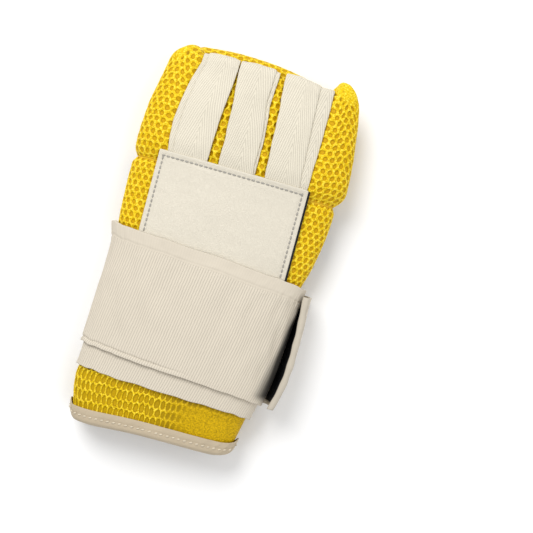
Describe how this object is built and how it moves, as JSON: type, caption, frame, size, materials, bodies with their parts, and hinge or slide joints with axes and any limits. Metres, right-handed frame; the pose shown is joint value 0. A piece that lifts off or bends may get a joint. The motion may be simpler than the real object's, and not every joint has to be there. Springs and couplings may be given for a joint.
{
  "type": "open-finger hand wrap glove",
  "caption": "Open-finger training glove with a mesh body, padded knuckle section, finger tapes, back patch and a wound wrist strap with a hook-and-loop tail.",
  "frame": {"origin": "middle of the glove's outline, on the surface it lies on", "axes": "left-hand glove lying palm down: +Y from the wrist to the fingers, +X to the thumb side where the strap ends, +Z out of the back of the hand"},
  "size_m": [0.1344, 0.244, 0.0412],
  "materials": {
    "yellow_mesh": "knitted polyester air mesh",
    "foam": "open-cell foam",
    "lining": "brushed knit",
    "cream_binding": "folded woven binding",
    "white_elastic": "ribbed woven elastic",
    "herringbone_tape": "herringbone cotton tape",
    "white_leather": "smooth grained artificial leather",
    "black_hook": "matte hook tape and backing cloth"
  },
  "bodies": {
    "hand_section": {"back_mesh_panel": "yellow_mesh", "palm_mesh_panel": "yellow_mesh", "back_foam": "foam", "back_lining": "lining", "cuff_binding": "cream_binding", "back_patch": "white_leather", "patch_backing": "black_hook", "wrist_strap": "white_elastic", "palm_opening_binding": "cream_binding"},
    "knuckle_section": {"knuckle_cover": "yellow_mesh", "knuckle_foam": "foam", "finger_tape_1": "herringbone_tape", "finger_tape_2": "herringbone_tape", "finger_tape_3": "herringbone_tape", "finger_bar_cover": "yellow_mesh", "finger_bar_core": "foam", "thumb_side_binding": "cream_binding", "little_finger_side_binding": "cream_binding"},
    "strap_end": {"strap_tail": "white_elastic", "tail_hem": "white_elastic", "hook_patch": "black_hook"}
  },
  "joints": [
    {"name": "knuckle_flex", "type": "hinge", "parent": "hand_section", "child": "knuckle_section", "pos_m": [0, 0.0429, 0.02], "axis": [-1, 0, 0], "range_deg": [0, 50], "stiffness_Nm_per_rad": 0.8},
    {"name": "strap_tail_open", "type": "hinge", "parent": "hand_section", "child": "strap_end", "pos_m": [0.05208, -0.04862, 0.00477], "axis": [0.1096, 0.994, 0.002], "range_deg": [0, 55], "stiffness_Nm_per_rad": 0.05}
  ]
}
